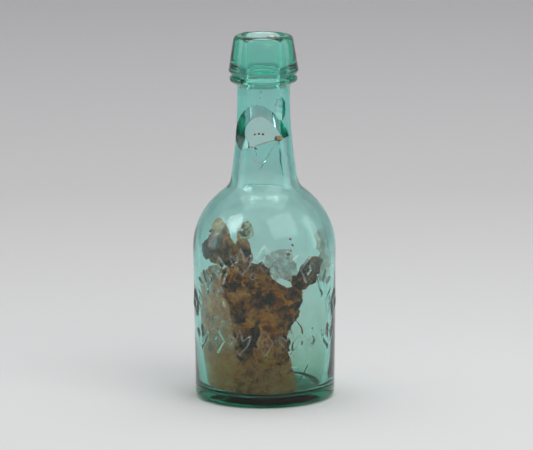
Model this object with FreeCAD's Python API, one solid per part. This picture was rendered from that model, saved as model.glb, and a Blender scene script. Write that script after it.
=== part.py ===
import FreeCAD, Part
import math
import os

from FreeCAD import Matrix, Rotation, Vector

# An old mould-blown soda bottle of thick glass: a squat body with a pushed-up base, a round
# shoulder, a tapering neck with its front broken open, and a lip applied as a second gather of
# glass. Dried soil and rust are caked on the inside of the wall.
# Millimetres. +Z is up, the origin is at the centre of the base and the front faces -Y.

# --- Glass: outside ---------------------------------------------------------------------------
HEEL_R = 34.6              # outer radius just above the heel
HEEL_ROUND = 3.2           # radius of the rounded heel
BEARING_R = 25.5           # inner radius of the flat ring that the bottle stands on
PUSH_UP = 5.2              # height of the push-up at its centre
BODY_R = 35.5              # outer radius where the shoulder springs
SHOULDER_Z = 74.5          # height where the shoulder springs, the centre of its sphere
NECK_FILLET_R = 9.0        # concave sweep from the shoulder into the neck
NECK_FILLET_Z = 111.1      # height of the centre of that sweep
NECK_ROOT_LEAN = 8.0       # degrees that the neck leans in where the sweep ends
NECK_MID = (14.35, 126.0)  # radius and height of a middle point of the tapering neck
NECK_HIGH = (13.1, 146.0)  # radius and height where the taper ends
NECK_TOP = (13.05, 155.6)  # radius and height of the neck's end, where the lip sits

# --- Glass: inside ----------------------------------------------------------------------------
WALL = 3.5                 # wall thickness in the upper body and the shoulder
FLOOR_Z = 9.8              # height of the inner floor at its centre
FLOOR_MID = (13.0, 8.2)    # radius and height of a middle point of the floor's dome
CORNER_CENTRE = (24.6, 9.2)
CORNER_R = 5.0             # inner corner between floor and wall
WALL_MID = (31.7, 40.0)    # radius and height of a middle point of the inner wall
BORE_MID_R = 10.1          # bore radius beside NECK_MID
BORE_HIGH = (8.6, 148.0)   # bore radius and height where the taper ends

# --- Applied lip ------------------------------------------------------------------------------
LIP_BORE_R = 8.4
LIP_TOP_Z = 181.0
RING_R = 16.8              # drip ring under the collar
RING_Z = 159.4
GROOVE_R = 15.6            # groove between the ring and the collar
GROOVE_Z = 161.3
COLLAR_R = 17.2            # collar at its lower edge
COLLAR_Z = 163.4
RIM_R = 14.85              # collar at its upper edge
RIM_Z = 178.6
RIM_FLAT = (10.9, 12.6)    # the level top of the rim, from radius to radius
FLARE_Z = 177.0            # height where the mouth begins to flare

# --- Raised ornament --------------------------------------------------------------------------
RELIEF = 0.7               # how far the ornament stands off the wall
ARCH_TOP_Z = 75.0          # middle of the arch's top motif
ARCH_DROP = 26.0           # how far the arch falls at its ends
ARCH_REACH = 74.0          # degrees from the front to the arch's last motifs
ARCH_TILT = 20.0           # degrees that the last motifs lean outwards
ARCH_MOTIFS = 9
ARCH_MOTIF_SIZE = (8.6, 13.0)
ROW_Z = 33.0               # middle of the straight row
ROW_REACH = 62.0
ROW_MOTIFS = 7
ROW_MOTIF_SIZE = (8.0, 12.5)
STROKE = 2.0               # width of a lozenge's lines
LEAF = 3.0                 # width of a palmette's middle leaf
BEAD_R = 1.3

# --- Damage -------------------------------------------------------------------------------------
# Faces of the break in the neck: a point of each, and its normal into the gap.
BREAK_BACK = ((0, -1.6, 130), (-0.24, -1, -0.67))
BREAK_FLOOR = ((0, -13, 128.9), (-0.28, 0.08, 1))
BREAK_CORNER = ((-13.9, -1.9, 129.8), (-0.45, -0.9, 1))
CORNER_END = ((-7.6, -6.2, 128.8), (0.9, -0.45, 0.3))   # where the corner face gives way
BREAK_REACH = 40.0
# Ellipsoids that the missing flakes leave: degrees round from the front, radius and height of
# the centre, and half-axes across, into and up the wall.
NECK_CHIP = (43.0, 14.7, 145.6, (4.8, 2.6, 6.0))
RIM_FLAKE = (10.0, 16.8, 180.2, (5.6, 2.5, 4.8))
RIM_NOTCH = (20.0, 12.6, 181.4, (1.6, 1.5, 1.3))
RING_CHIP = (-35.0, 18.0, 159.8, (3.0, 2.6, 3.2))

# --- Soil and rust on the inside ----------------------------------------------------------------
GAP = 0.05                 # clearance between the deposits and the glass
FILM = 0.6                 # thickness of the films of dried silt
CRUST = 2.2                # thickness of the caked crusts
THIN = 0.45                # thickness of the faint stains
FLOOR_SILT_R = 21.0
FLOOR_SILT = 1.4
FIBRE_R = 0.3

# Outlines are (x, z) poles of a smooth closed line, seen from the front.
TRUNK = [(-12.5, 21), (-4, 24), (7, 19), (11.5, 22), (9.5, 37), (14.5, 47), (19.5, 57.5),
         (10, 60.5), (4, 66), (-3, 71.5), (-12, 71.5), (-20.5, 70), (-20.5, 60), (-14.5, 47),
         (-13.5, 33)]
SILT_FILM = [(-26, 12.5), (-12, 8.6), (1, 8), (10.5, 9), (9.5, 15), (4, 30), (-4, 40),
             (-12, 55), (-20, 66), (-26, 65), (-28.6, 52), (-27.5, 36), (-26, 22)]
RUST_STREAK = [(0.5, 13), (3.6, 22), (2.6, 33), (3.4, 44), (0, 49), (-3, 42), (-2, 30),
               (-1.5, 20)]
RIGHT_BRANCH = [(12.5, 61), (19.5, 58.6), (23.6, 63), (25.6, 70), (24, 74.5), (20.5, 70),
                (15, 66.5)]
LEFT_TORSO = [(-28.5, 72.5), (-25, 76), (-22, 71), (-14.5, 72), (-16, 80), (-18, 87),
              (-23.5, 86), (-24, 82), (-28.5, 82)]
MID_STALK = [(-14, 72.6), (-8.5, 73), (-6.5, 78), (-8, 84), (-11.5, 84.5), (-14, 80)]
UPPER_FILM = [(3, 67.6), (11, 62.6), (13.4, 67), (13, 76), (8, 79.5), (3, 77), (1, 72)]
RIGHT_STAIN = [(25, 63), (28.6, 60), (30, 70), (28.6, 82), (25.6, 85), (24.6, 78), (26.6, 71)]
LEFT_HEAD = ((-21.6, -18.2, 88.5), (3.9, 3.6, 4.8))
MID_HEAD = ((-9.2, -27.2, 87.6), (3.9, 3.4, 3.7))
RUST_SPECKS = [(12.2, 83.5), (13.3, 80.6), (12.4, 78.2), (11.2, 76.4)]
NECK_SPECKS = [(-4.4, 130.1), (-2.4, 130.2), (-0.4, 129.9)]
SPECK_R = 0.5
FIBRE = [(20.5, 17.5), (17.5, 11.5), (12.6, 9.2)]

ORIGIN = Vector(0, 0, 0)
UP = Vector(0, 0, 1)
FRONT = Vector(0, -1, 0)


def at(radius, height):
    """A point of a profile, in the XZ plane."""
    return Vector(radius, 0, height)


def arc(start, middle, end):
    return Part.Arc(start, middle, end).toShape()


def chain(*points):
    """Straight edges from each point to the next."""
    return [Part.makeLine(a, b) for a, b in zip(points, points[1:])]


def revolved(edges):
    return Part.Face(Part.Wire(edges)).revolve(ORIGIN, UP, 360)


def ellipsoid(place, half_axes):
    stretch = Matrix()
    stretch.scale(*half_axes)
    ball = Part.makeSphere(1.0).transformGeometry(stretch)
    ball.translate(Vector(*place))
    return ball


def flake(azimuth, radius, height, half_axes):
    """The hollow that a missing flake leaves in the outside of the glass."""
    ball = ellipsoid((0, -radius, height), half_axes)
    ball.rotate(ORIGIN, UP, azimuth)
    return ball


# The shoulder's sphere and the sweep into the neck touch on the line through their centres.
CENTRES_APART = BODY_R + NECK_FILLET_R
SWEEP_RISE = NECK_FILLET_Z - SHOULDER_Z
SWEEP_CENTRE_R = math.sqrt(CENTRES_APART**2 - SWEEP_RISE**2)
TOUCH = math.atan2(SWEEP_RISE, SWEEP_CENTRE_R)
LEAN = math.radians(NECK_ROOT_LEAN)


def shoulder(radius):
    """The shoulder of this sphere radius and the sweep after it, up to the neck's root."""
    def on_sphere(angle):
        return at(radius * math.cos(angle), SHOULDER_Z + radius * math.sin(angle))

    def on_sweep(angle):
        sweep = CENTRES_APART - radius
        return at(SWEEP_CENTRE_R - sweep * math.cos(angle), NECK_FILLET_Z - sweep * math.sin(angle))

    root = on_sweep(LEAN)
    edges = [arc(on_sphere(0), on_sphere(TOUCH / 2), on_sphere(TOUCH)),
             arc(on_sphere(TOUCH), on_sweep((TOUCH + LEAN) / 2), root)]
    return edges, root


def bottle_blank():
    """The outside of the bottle, as a filled solid up to the lip."""
    heel_low = at(HEEL_R - HEEL_ROUND, 0)
    heel_high = at(HEEL_R, HEEL_ROUND)
    bend = HEEL_ROUND * math.sqrt(0.5)
    heel_bend = at(HEEL_R - HEEL_ROUND + bend, HEEL_ROUND - bend)
    shoulder_edges, root = shoulder(BODY_R)
    edges = [arc(at(0, PUSH_UP), at(BEARING_R / 2, PUSH_UP * 0.77), at(BEARING_R, 0))]
    edges += chain(at(BEARING_R, 0), heel_low)
    edges += [arc(heel_low, heel_bend, heel_high)]
    edges += chain(heel_high, at(BODY_R, SHOULDER_Z))
    edges += shoulder_edges
    edges += [arc(root, at(*NECK_MID), at(*NECK_HIGH))]
    edges += chain(at(*NECK_HIGH), at(*NECK_TOP), at(0, NECK_TOP[1]), at(0, PUSH_UP))
    return revolved(edges)


def void(clearance):
    """The space inside the bottle body, shrunk all round by a clearance."""
    corner_r = CORNER_R - clearance
    corner_x, corner_z = CORNER_CENTRE
    bend = corner_r * math.sqrt(0.5)
    corner_low = at(corner_x, corner_z - corner_r)
    corner_high = at(corner_x + corner_r, corner_z)
    inner_r = BODY_R - WALL - clearance
    shoulder_edges, root = shoulder(inner_r)
    bore_mid = at(BORE_MID_R - clearance, NECK_MID[1])
    bore_high = at(BORE_HIGH[0] - clearance, BORE_HIGH[1])
    bore_top = at(BORE_HIGH[0] - clearance, NECK_TOP[1])
    centre = at(0, FLOOR_Z + clearance)
    edges = [arc(centre, at(FLOOR_MID[0], FLOOR_MID[1] + clearance), corner_low)]
    edges += [arc(corner_low, at(corner_x + bend, corner_z - bend), corner_high)]
    edges += [arc(corner_high, at(WALL_MID[0] - clearance, WALL_MID[1]), at(inner_r, SHOULDER_Z))]
    edges += shoulder_edges
    edges += [arc(root, bore_mid, bore_high)]
    edges += chain(bore_high, bore_top, at(0, NECK_TOP[1]), centre)
    return revolved(edges)


# --- Ornament -----------------------------------------------------------------------------------
def lozenge(width, height):
    corners = [(width / 2, 0), (0, height / 2), (-width / 2, 0), (0, -height / 2)]
    points = [Vector(x, 0, z) for x, z in corners]
    return Part.Face(Part.Wire(chain(*points, points[0])))


def leaf(width, height, turn):
    """A spindle that stands on its lower tip and is turned about it."""
    foot = Vector(0, 0, -height / 2)
    tip = Vector(0, 0, height / 2)
    face = Part.Face(Part.Wire([arc(foot, Vector(width / 2, 0, 0), tip),
                                arc(tip, Vector(-width / 2, 0, 0), foot)]))
    face.rotate(foot, FRONT, turn)
    return face


def raised(face, azimuth, height, tilt=0.0):
    """A motif stood out of the wall at an azimuth from the front, tilted in its own plane."""
    face = face.copy()
    face.rotate(ORIGIN, Vector(0, 1, 0), tilt)
    root = BODY_R - WALL / 2
    face.translate(Vector(0, -root, height))
    block = face.extrude(FRONT * WALL)
    block.rotate(ORIGIN, UP, azimuth)
    return block


def open_lozenge(size):
    width, height = size
    inset = 2 * STROKE / math.sin(2 * math.atan(width / height))
    inner = lozenge(width - inset * width / height, height - inset)
    return [lozenge(width, height).cut(inner)]


def palmette(size):
    width, height = size
    spread = math.degrees(math.atan(width / height))
    return [leaf(LEAF, height, 0),
            leaf(LEAF * 0.9, height * 0.8, spread),
            leaf(LEAF * 0.9, height * 0.8, -spread)]


def bead():
    return Part.Face(Part.Wire(Part.makeCircle(BEAD_R, ORIGIN, FRONT)))


def ornament():
    """The arch and the straight row of motifs, before they are trimmed to their relief."""
    blocks = []
    for index in range(ARCH_MOTIFS):
        share = 2 * index / (ARCH_MOTIFS - 1) - 1
        height = ARCH_TOP_Z - ARCH_DROP * share**2
        motif = palmette if index % 2 else open_lozenge
        for face in motif(ARCH_MOTIF_SIZE):
            blocks.append(raised(face, share * ARCH_REACH, height, share * ARCH_TILT))
    for index in range(ROW_MOTIFS):
        share = 2 * index / (ROW_MOTIFS - 1) - 1
        motif = open_lozenge if index % 2 else palmette
        for face in motif(ROW_MOTIF_SIZE):
            blocks.append(raised(face, share * ROW_REACH, ROW_Z))
    for side in (-1, 1):
        blocks.append(raised(bead(), side * ARCH_REACH / (ARCH_MOTIFS - 1), ARCH_TOP_Z - 8.5))
    return blocks


def relief_limit():
    """The body and shoulder, swollen by the relief."""
    shoulder_r = BODY_R + RELIEF
    top = at(shoulder_r * math.cos(TOUCH), SHOULDER_Z + shoulder_r * math.sin(TOUCH))
    mid = at(shoulder_r * math.cos(TOUCH / 2), SHOULDER_Z + shoulder_r * math.sin(TOUCH / 2))
    spring = at(shoulder_r, SHOULDER_Z)
    low = at(HEEL_R + RELIEF, HEEL_ROUND)
    edges = [arc(spring, mid, top)]
    edges += chain(top, at(0, top.z), at(0, HEEL_ROUND), low, spring)
    return revolved(edges)


# --- Glass pieces -------------------------------------------------------------------------------
def beyond(point, normal):
    """A wide drum on the far side of a face."""
    return Part.makeCylinder(BREAK_REACH, BREAK_REACH, Vector(*point), Vector(*normal))


def neck_break():
    """The missing front of the neck. A corner of it, low on the left, is still there."""
    gap = beyond(*BREAK_BACK).common(beyond(*BREAK_FLOOR))
    return [gap.common(beyond(*BREAK_CORNER)), gap.common(beyond(*CORNER_END))]


def bottle_body():
    limit = relief_limit()
    motifs = [block.common(limit) for block in ornament()]
    glass = bottle_blank().fuse(motifs).cut(void(0))
    for missing in neck_break():
        glass = glass.cut(missing)
    return glass.cut(flake(*NECK_CHIP))


def applied_lip():
    base_r, base_z = NECK_TOP
    ring_low = at(RING_R - 0.7, RING_Z - 1.5)
    ring_high = at(RING_R - 0.6, RING_Z + 1.2)
    groove = at(GROOVE_R, GROOVE_Z)
    collar_low = at(COLLAR_R - 0.8, COLLAR_Z - 1.3)
    collar_high = at(COLLAR_R - 0.12, COLLAR_Z + 1.1)
    rim = at(RIM_R, RIM_Z)
    flat_in = at(RIM_FLAT[0], LIP_TOP_Z)
    flat_out = at(RIM_FLAT[1], LIP_TOP_Z)
    flare = at(LIP_BORE_R, FLARE_Z)
    flare_width = RIM_FLAT[0] - LIP_BORE_R
    flare_height = LIP_TOP_Z - FLARE_Z
    flare_r = (flare_width**2 + flare_height**2) / (2 * flare_width)
    turn = math.asin(flare_height / flare_r) / 2
    flare_mid = at(LIP_BORE_R + flare_r * (1 - math.cos(turn)), FLARE_Z + flare_r * math.sin(turn))
    edges = [arc(at(base_r, base_z), at(base_r + 1.1, base_z + 1.1), ring_low)]
    edges += [arc(ring_low, at(RING_R, RING_Z), ring_high)]
    edges += chain(ring_high, groove, collar_low)
    edges += [arc(collar_low, at(COLLAR_R, COLLAR_Z), collar_high)]
    edges += chain(collar_high, rim)
    edges += [arc(rim, at(RIM_R - 0.75, LIP_TOP_Z - 0.7), flat_out)]
    edges += chain(flat_out, flat_in)
    edges += [arc(flat_in, flare_mid, flare)]
    edges += chain(flare, at(LIP_BORE_R, base_z), at(base_r, base_z))
    lip = revolved(edges)
    for missing in (RIM_FLAKE, RIM_NOTCH, RING_CHIP):
        lip = lip.cut(flake(*missing))
    return lip


# --- Deposits -----------------------------------------------------------------------------------
def blob(outline):
    """A deep prism with a smooth closed outline, over the front half of the bottle."""
    poles = [Vector(x, 0, z) for x, z in outline]
    curve = Part.BSplineCurve()
    curve.buildFromPoles(poles, True, 3)
    return Part.Face(Part.Wire(curve.toShape())).extrude(FRONT * (BODY_R + 1))


def caked(region, thickness):
    """A layer of this thickness on the inner wall, inside the region and clear of the floor."""
    floor_core = Part.makeCylinder(CORNER_CENTRE[0], CORNER_CENTRE[1] + WALL)
    return void(GAP).cut(floor_core).common(region).cut(void(GAP + thickness))


def clod(head, stalk):
    """A lump caked on a stalk of crust."""
    lump = ellipsoid(*head).common(void(GAP))
    return lump.fuse(caked(stalk, CRUST)).removeSplitter()


def floor_silt():
    drum = Part.makeCylinder(FLOOR_SILT_R, CORNER_CENTRE[1] + WALL)
    return void(GAP).cut(void(GAP + FLOOR_SILT)).common(drum)


def wall_radius(height):
    """Inner radius of the upper body and shoulder at a height."""
    inner_r = BODY_R - WALL
    rise = max(0.0, height - SHOULDER_Z)
    return math.sqrt(inner_r**2 - rise**2)


def rust_specks():
    """Grains of rust, most on the front wall and a few on the back of the neck."""
    grains = []
    for x, z in RUST_SPECKS:
        reach = wall_radius(z) - GAP - SPECK_R
        grains.append(Part.makeSphere(SPECK_R, Vector(x, -math.sqrt(reach**2 - x**2), z)))
    for x, z in NECK_SPECKS:
        reach = BORE_HIGH[0]
        grains.append(Part.makeSphere(SPECK_R, Vector(x, math.sqrt(reach**2 - x**2), z)))
    return Part.makeCompound(grains)


def root_fibre():
    """A thin dried rootlet that lies just inside the low front wall."""
    reach = CORNER_CENTRE[0]
    points = [Vector(x, -math.sqrt(reach**2 - x**2), z) for x, z in FIBRE]
    path = Part.Wire([arc(*points)])
    ring = Part.Wire(Part.makeCircle(FIBRE_R, points[0], path.Edges[0].tangentAt(0)))
    return path.makePipeShell([ring], True, False)


def main():
    trunk = blob(TRUNK)
    streak = blob(RUST_STREAK)
    nodes = {
        "bottle_body": bottle_body(),
        "applied_lip": applied_lip(),
        "silt_film": caked(blob(SILT_FILM).cut(trunk).cut(streak), FILM),
        "soil_crust": caked(trunk.cut(streak), CRUST),
        "rust_streak": caked(streak, CRUST),
        "right_crust": caked(blob(RIGHT_BRANCH).cut(trunk), CRUST),
        "left_clod": clod(LEFT_HEAD, blob(LEFT_TORSO).cut(trunk)),
        "middle_clod": clod(MID_HEAD, blob(MID_STALK).cut(trunk)),
        "upper_stain": caked(blob(UPPER_FILM).cut(trunk), THIN),
        "right_stain": caked(blob(RIGHT_STAIN), THIN),
        "floor_silt": floor_silt(),
        "rust_specks": rust_specks(),
        "root_fibre": root_fibre(),
    }
    os.makedirs("parts", exist_ok=True)
    for name, shape in nodes.items():
        shape.exportStep(f"parts/{name}.step")
        print(name, len(shape.Solids), "solids", round(shape.Volume, 1), "mm3", shape.isValid())


main()
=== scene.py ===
import itertools
import math

import bmesh
import bpy
import numpy as np
from mathutils import Matrix, Vector


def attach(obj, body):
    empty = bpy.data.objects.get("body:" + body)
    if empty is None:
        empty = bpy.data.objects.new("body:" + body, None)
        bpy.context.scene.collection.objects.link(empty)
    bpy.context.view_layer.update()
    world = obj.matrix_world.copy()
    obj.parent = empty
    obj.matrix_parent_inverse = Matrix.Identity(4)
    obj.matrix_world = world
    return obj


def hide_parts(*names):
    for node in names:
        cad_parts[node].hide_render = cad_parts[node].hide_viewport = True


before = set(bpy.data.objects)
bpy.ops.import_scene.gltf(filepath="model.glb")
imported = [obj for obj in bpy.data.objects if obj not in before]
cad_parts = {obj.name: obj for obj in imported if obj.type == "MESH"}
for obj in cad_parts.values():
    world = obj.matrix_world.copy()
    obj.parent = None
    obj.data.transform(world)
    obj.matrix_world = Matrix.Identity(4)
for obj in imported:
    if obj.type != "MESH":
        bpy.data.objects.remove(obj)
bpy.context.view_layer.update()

# An old bottle of thick aqua glass, with its neck broken open and soil caked inside.
# Lengths are in millimetres until a mesh is made. Azimuth 0 is the front, and it grows
# towards +X.
MM = 0.001

# ---- The glass's profile, as in the CAD model ----
HEEL_R = 34.6
HEEL_ROUND = 3.2
BEARING_R = 25.5
PUSH_UP = 5.2
BODY_R = 35.5
SHOULDER_Z = 74.5
NECK_FILLET_R = 9.0
NECK_FILLET_Z = 111.1
NECK_ROOT_LEAN = math.radians(8.0)
NECK_MID = (14.35, 126.0)
NECK_HIGH = (13.1, 146.0)
NECK_TOP = (13.05, 155.6)
WALL = 3.5
FLOOR_Z = 9.8
FLOOR_MID = (13.0, 8.2)
CORNER_CENTRE = (24.6, 9.2)
CORNER_R = 5.0
WALL_MID = (31.7, 40.0)
BORE_MID = (10.1, 126.0)
BORE_HIGH = (8.6, 148.0)
LIP_BORE_R = 8.4
LIP_TOP_Z = 181.0
LIP_SEAM = 0.01  # half of the gap between the body's top and the lip

# ---- Ornament ----
RELIEF = 0.7
RELIEF_EDGE = 0.8  # width of the rounded side of a line
ARCH_TOP_Z = 75.0
ARCH_DROP = 26.0
ARCH_REACH = 74.0
ARCH_TILT = 20.0
ARCH_MOTIFS = 9
ARCH_MOTIF_SIZE = (8.6, 13.0)
ROW_Z = 33.0
ROW_REACH = 62.0
ROW_MOTIFS = 7
ROW_MOTIF_SIZE = (8.0, 12.5)
STROKE = 2.0  # width of a lozenge's lines
LEAF = 3.0  # width of a palmette's middle leaf
BEAD_R = 1.3
BEAD_DROP = 8.5  # from the top of the arch down to its beads

# ---- Unevenness of hand-blown glass: the width and the height of its waves ----
INNER_WAVE = (17.0, 0.22)
OUTER_WAVE = (22.0, 0.12)
LIP_WAVE = (9.0, 0.1)
LIP_STREAK = (2.5, 0.03)

# ---- Damage: a point and the outward normal of each face of the break ----
BREAK_BACK = ((0, -1.6, 130), (-0.24, -1, -0.67))
BREAK_FLOOR = ((0, -13, 128.9), (-0.28, 0.08, 1))
BREAK_CORNER = ((-13.9, -1.9, 129.8), (-0.45, -0.9, 1))
CORNER_END = ((-7.6, -6.2, 128.8), (0.9, -0.45, 0.3))
# Flakes: azimuth, radius and height of the middle, and half the width, depth and height.
NECK_CHIP = (40.0, 14.5, 145.6, (4.4, 3.3, 6.3))
RIM_FLAKE = (10.0, 16.8, 180.2, (5.6, 2.5, 4.8))
RIM_NOTCH = (20.0, 12.6, 181.4, (1.6, 1.5, 1.3))
RING_CHIP = (-35.0, 18.0, 159.8, (3.0, 2.6, 3.2))
CRACK_WIDTH = 0.08
CRACK_START = 0.3  # how far proud of the glass a crack's cutter starts
# Cracks below the break: the (x, z) of each end, its bow, its dip into the glass and its depth.
CRACKS = [(((7.6, 130.2), (-2.2, 115.0)), 1.2, (-0.12, 1.0, 0.05), 2.4),
          (((0.4, 124.2), (-2.0, 116.2)), -0.8, (0.3, 1.0, 0.0), 1.8),
          (((7.9, 130.3), (9.6, 112.5)), 1.0, (-0.75, 0.7, 0.0), 2.0),
          (((-6.6, 126.6), (-1.8, 123.2)), 0.9, (0.1, 1.0, 0.8), 1.8),
          (((-5.4, 127.0), (-4.2, 122.4)), 0.4, (0.6, 1.0, 0.0), 1.5)]
# Bubbles in the neck's front: x, z and radius.
SEEDS = [(-1.2, 154.2, 0.62), (-1.7, 153.5, 0.22), (-1.5, 151.4, 0.34), (-3.3, 148.2, 0.3),
         (-1.3, 143.4, 0.5), (-0.6, 142.6, 0.24), (-4.2, 146.3, 0.2), (1.8, 149.6, 0.18)]
SEED_DEPTH = 1.3
SMALL_SEEDS = 60
SEED_DRAW = 1.25  # how far a bubble is drawn out upwards

# ---- Noise ----
LATTICE = np.random.default_rng(11).random((32, 32, 32))


def value_noise(points, size):
    """Smooth noise from 0 to 1 with features of this size."""
    place = points / size
    cell = np.floor(place).astype(int)
    part = place - cell
    part = part * part * (3 - 2 * part)
    total = np.zeros(len(points))
    for corner in itertools.product((0, 1), repeat=3):
        weight = np.prod(np.where(corner, part, 1 - part), axis=1)
        index = (cell + corner) % 32
        total += weight * LATTICE[index[:, 0], index[:, 1], index[:, 2]]
    return total


def fbm(points, size, octaves=4):
    """Layered noise about 0, from roughly -1 to 1."""
    total = np.zeros(len(points))
    for octave in range(octaves):
        shifted = points + 17.3 * octave
        total += (value_noise(shifted, size / 2**octave) * 2 - 1) / 2**octave
    return total


def noise(points, size, octaves=4):
    return fbm(points.reshape(-1, 3) + 100.0, size, octaves).reshape(points.shape[:-1])


def smooth(value):
    value = np.clip(value, 0, 1)
    return value * value * (3 - 2 * value)


# ---- Profiles ----
def line(start, end, step):
    start, end = np.array(start, float), np.array(end, float)
    count = max(1, round(np.linalg.norm(end - start) / step))
    return start + (end - start) * np.linspace(0, 1, count + 1)[:, None]


def arc(centre, radius, first, last, step):
    """Points of a circle of the profile, from one angle to another."""
    count = max(2, round(radius * abs(last - first) / step))
    angles = np.linspace(first, last, count + 1)
    return np.stack([centre[0] + radius * np.cos(angles),
                     centre[1] + radius * np.sin(angles)], axis=1)


def arc_through(start, middle, end, step):
    """The arc from start to end through middle."""
    start, middle, end = (np.array(p, float) for p in (start, middle, end))
    sides = 2 * np.array([middle - start, end - start])
    sums = [middle @ middle - start @ start, end @ end - start @ start]
    centre = np.linalg.solve(sides, sums)
    radius = np.linalg.norm(start - centre)
    first, via, last = (math.atan2(*(p - centre)[::-1]) for p in (start, middle, end))
    via = first + (via - first + math.pi) % (2 * math.pi) - math.pi
    last = via + (last - via + math.pi) % (2 * math.pi) - math.pi
    return arc(centre, radius, first, last, step)


def chain(*runs):
    """Runs of points joined end to end."""
    joined = [runs[0]]
    joined += [run[1:] for run in runs[1:]]
    return np.concatenate(joined)


SWEEP_RISE = NECK_FILLET_Z - SHOULDER_Z
CENTRES_APART = BODY_R + NECK_FILLET_R
SWEEP_CENTRE = (math.sqrt(CENTRES_APART**2 - SWEEP_RISE**2), NECK_FILLET_Z)
TOUCH = math.atan2(SWEEP_RISE, SWEEP_CENTRE[0])


def shoulder(radius, low_step, high_step):
    """From the spring of the shoulder, over its sphere, to the root of the neck."""
    fine_end = 0.25
    sweep = CENTRES_APART - radius
    return chain(arc((0, SHOULDER_Z), radius, 0, fine_end, low_step),
                 arc((0, SHOULDER_Z), radius, fine_end, TOUCH, high_step),
                 arc(SWEEP_CENTRE, sweep, TOUCH + math.pi, NECK_ROOT_LEAN + math.pi, high_step))


def inner_profile():
    """The inside of the body, from the top of the bore down to the middle of the floor."""
    step = 1.8
    inner_shoulder = shoulder(BODY_R - WALL, step, step)[::-1]
    corner = arc(CORNER_CENTRE, CORNER_R, 0, -math.pi / 2, 1.0)
    return chain(
        arc_through(BORE_HIGH, BORE_MID, inner_shoulder[0], step),
        inner_shoulder,
        arc_through((BODY_R - WALL, SHOULDER_Z), WALL_MID, corner[0], step),
        corner,
        arc_through(corner[-1], FLOOR_MID, (0, FLOOR_Z), step))


def body_profile():
    """From the middle of the base, up the outside, over the neck's end and down the inside."""
    heel = (HEEL_R - HEEL_ROUND, HEEL_ROUND)
    fine, coarse = 0.45, 1.8
    neck_end = NECK_TOP[1] - LIP_SEAM
    outer_shoulder = shoulder(BODY_R, fine, coarse)
    slope = (BODY_R - HEEL_R) / (SHOULDER_Z - HEEL_ROUND)
    low_row, high_row = ROW_Z - 8, ROW_Z + 8
    at_row = [(HEEL_R + slope * (z - HEEL_ROUND), z) for z in (low_row, high_row)]
    return chain(
        arc_through((0, PUSH_UP), (BEARING_R / 2, PUSH_UP * 0.77), (BEARING_R, 0), 2.5),
        line((BEARING_R, 0), (heel[0], 0), 1.5),
        arc(heel, HEEL_ROUND, -math.pi / 2, 0, 0.7),
        line((HEEL_R, HEEL_ROUND), at_row[0], coarse),
        line(at_row[0], at_row[1], fine),
        line(at_row[1], (BODY_R, SHOULDER_Z), fine),
        outer_shoulder,
        arc_through(outer_shoulder[-1], NECK_MID, NECK_HIGH, coarse),
        line(NECK_HIGH, (NECK_TOP[0], neck_end), coarse),
        line((NECK_TOP[0], neck_end), (BORE_HIGH[0], neck_end), 1.5),
        line((BORE_HIGH[0], neck_end), BORE_HIGH, coarse),
        inner_profile())


def lip_profile():
    """The closed section of the lip, from its lower outer edge up the outside and down the bore."""
    base_r, base_z = NECK_TOP[0], NECK_TOP[1] + LIP_SEAM
    ring_low, ring, ring_high = (16.1, 157.9), (16.8, 159.4), (16.2, 160.6)
    groove, collar_low = (15.6, 161.3), (16.4, 162.1)
    collar, collar_high = (17.2, 163.4), (17.08, 164.5)
    rim, rim_round, flat_out = (14.85, 178.6), (14.1, 180.3), (12.6, LIP_TOP_Z)
    flat_in, flare_z = (10.9, LIP_TOP_Z), 177.0
    flare_width, flare_height = flat_in[0] - LIP_BORE_R, LIP_TOP_Z - flare_z
    flare_r = (flare_width**2 + flare_height**2) / (2 * flare_width)
    flare_turn = math.asin(flare_height / flare_r)
    fine, coarse = 0.3, 1.0
    bends = [(base_r, base_z), (base_r + 1.1, base_z + 1.1), ring_low, ring, ring_high, groove,
             collar_low, collar, collar_high]
    return chain(
        *(arc_through(*bends[start:start + 3], fine) for start in (0, 2, 4, 6)),
        line(collar_high, rim, coarse),
        arc_through(rim, rim_round, flat_out, fine),
        line(flat_out, flat_in, fine),
        arc((LIP_BORE_R + flare_r, flare_z), flare_r, math.pi - flare_turn, math.pi, 0.5),
        line((LIP_BORE_R, flare_z), (LIP_BORE_R, base_z), coarse),
        line((LIP_BORE_R, base_z), (BORE_HIGH[0], base_z), 0.2),
        line((BORE_HIGH[0], base_z), (base_r, base_z), 1.5))


def outside_run():
    """The outside from the heel to the rim, as rising heights with their radii."""
    body, lip = body_profile(), lip_profile()
    body = body[:np.argmax(body[:, 1]) + 1]
    lip = lip[:np.argmax(lip[:, 1]) + 1]
    run = np.concatenate([body[body[:, 1] > HEEL_ROUND], lip])
    return run[np.argsort(run[:, 1], kind="stable")]


OUTSIDE = outside_run()


def outer_radius(z):
    return np.interp(z, OUTSIDE[:, 1], OUTSIDE[:, 0])


def on_outside(x, z, proud=0.0):
    """The point on the front of the glass at this x and z, or a little proud of it."""
    radius = outer_radius(z) + proud
    return np.array([x, -math.sqrt(radius**2 - x**2), z])


# ---- Ornament ----
def leaf_depth(u, v, width, height, turn):
    """Depth inside a spindle that stands on its foot and is turned about it."""
    turn = math.radians(turn)
    v = v + height / 2
    u, v = u * math.cos(turn) + v * math.sin(turn), v * math.cos(turn) - u * math.sin(turn)
    v = v - height / 2
    round_r = (height**2 / 4 + width**2 / 4) / width
    return round_r - np.hypot(np.abs(u) + round_r - width / 2, v)


def palmette_depth(u, v, size):
    width, height = size
    spread = math.degrees(math.atan(width / height))
    return np.max([leaf_depth(u, v, LEAF, height, 0),
                   leaf_depth(u, v, LEAF * 0.9, height * 0.8, spread),
                   leaf_depth(u, v, LEAF * 0.9, height * 0.8, -spread)], axis=0)


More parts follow.
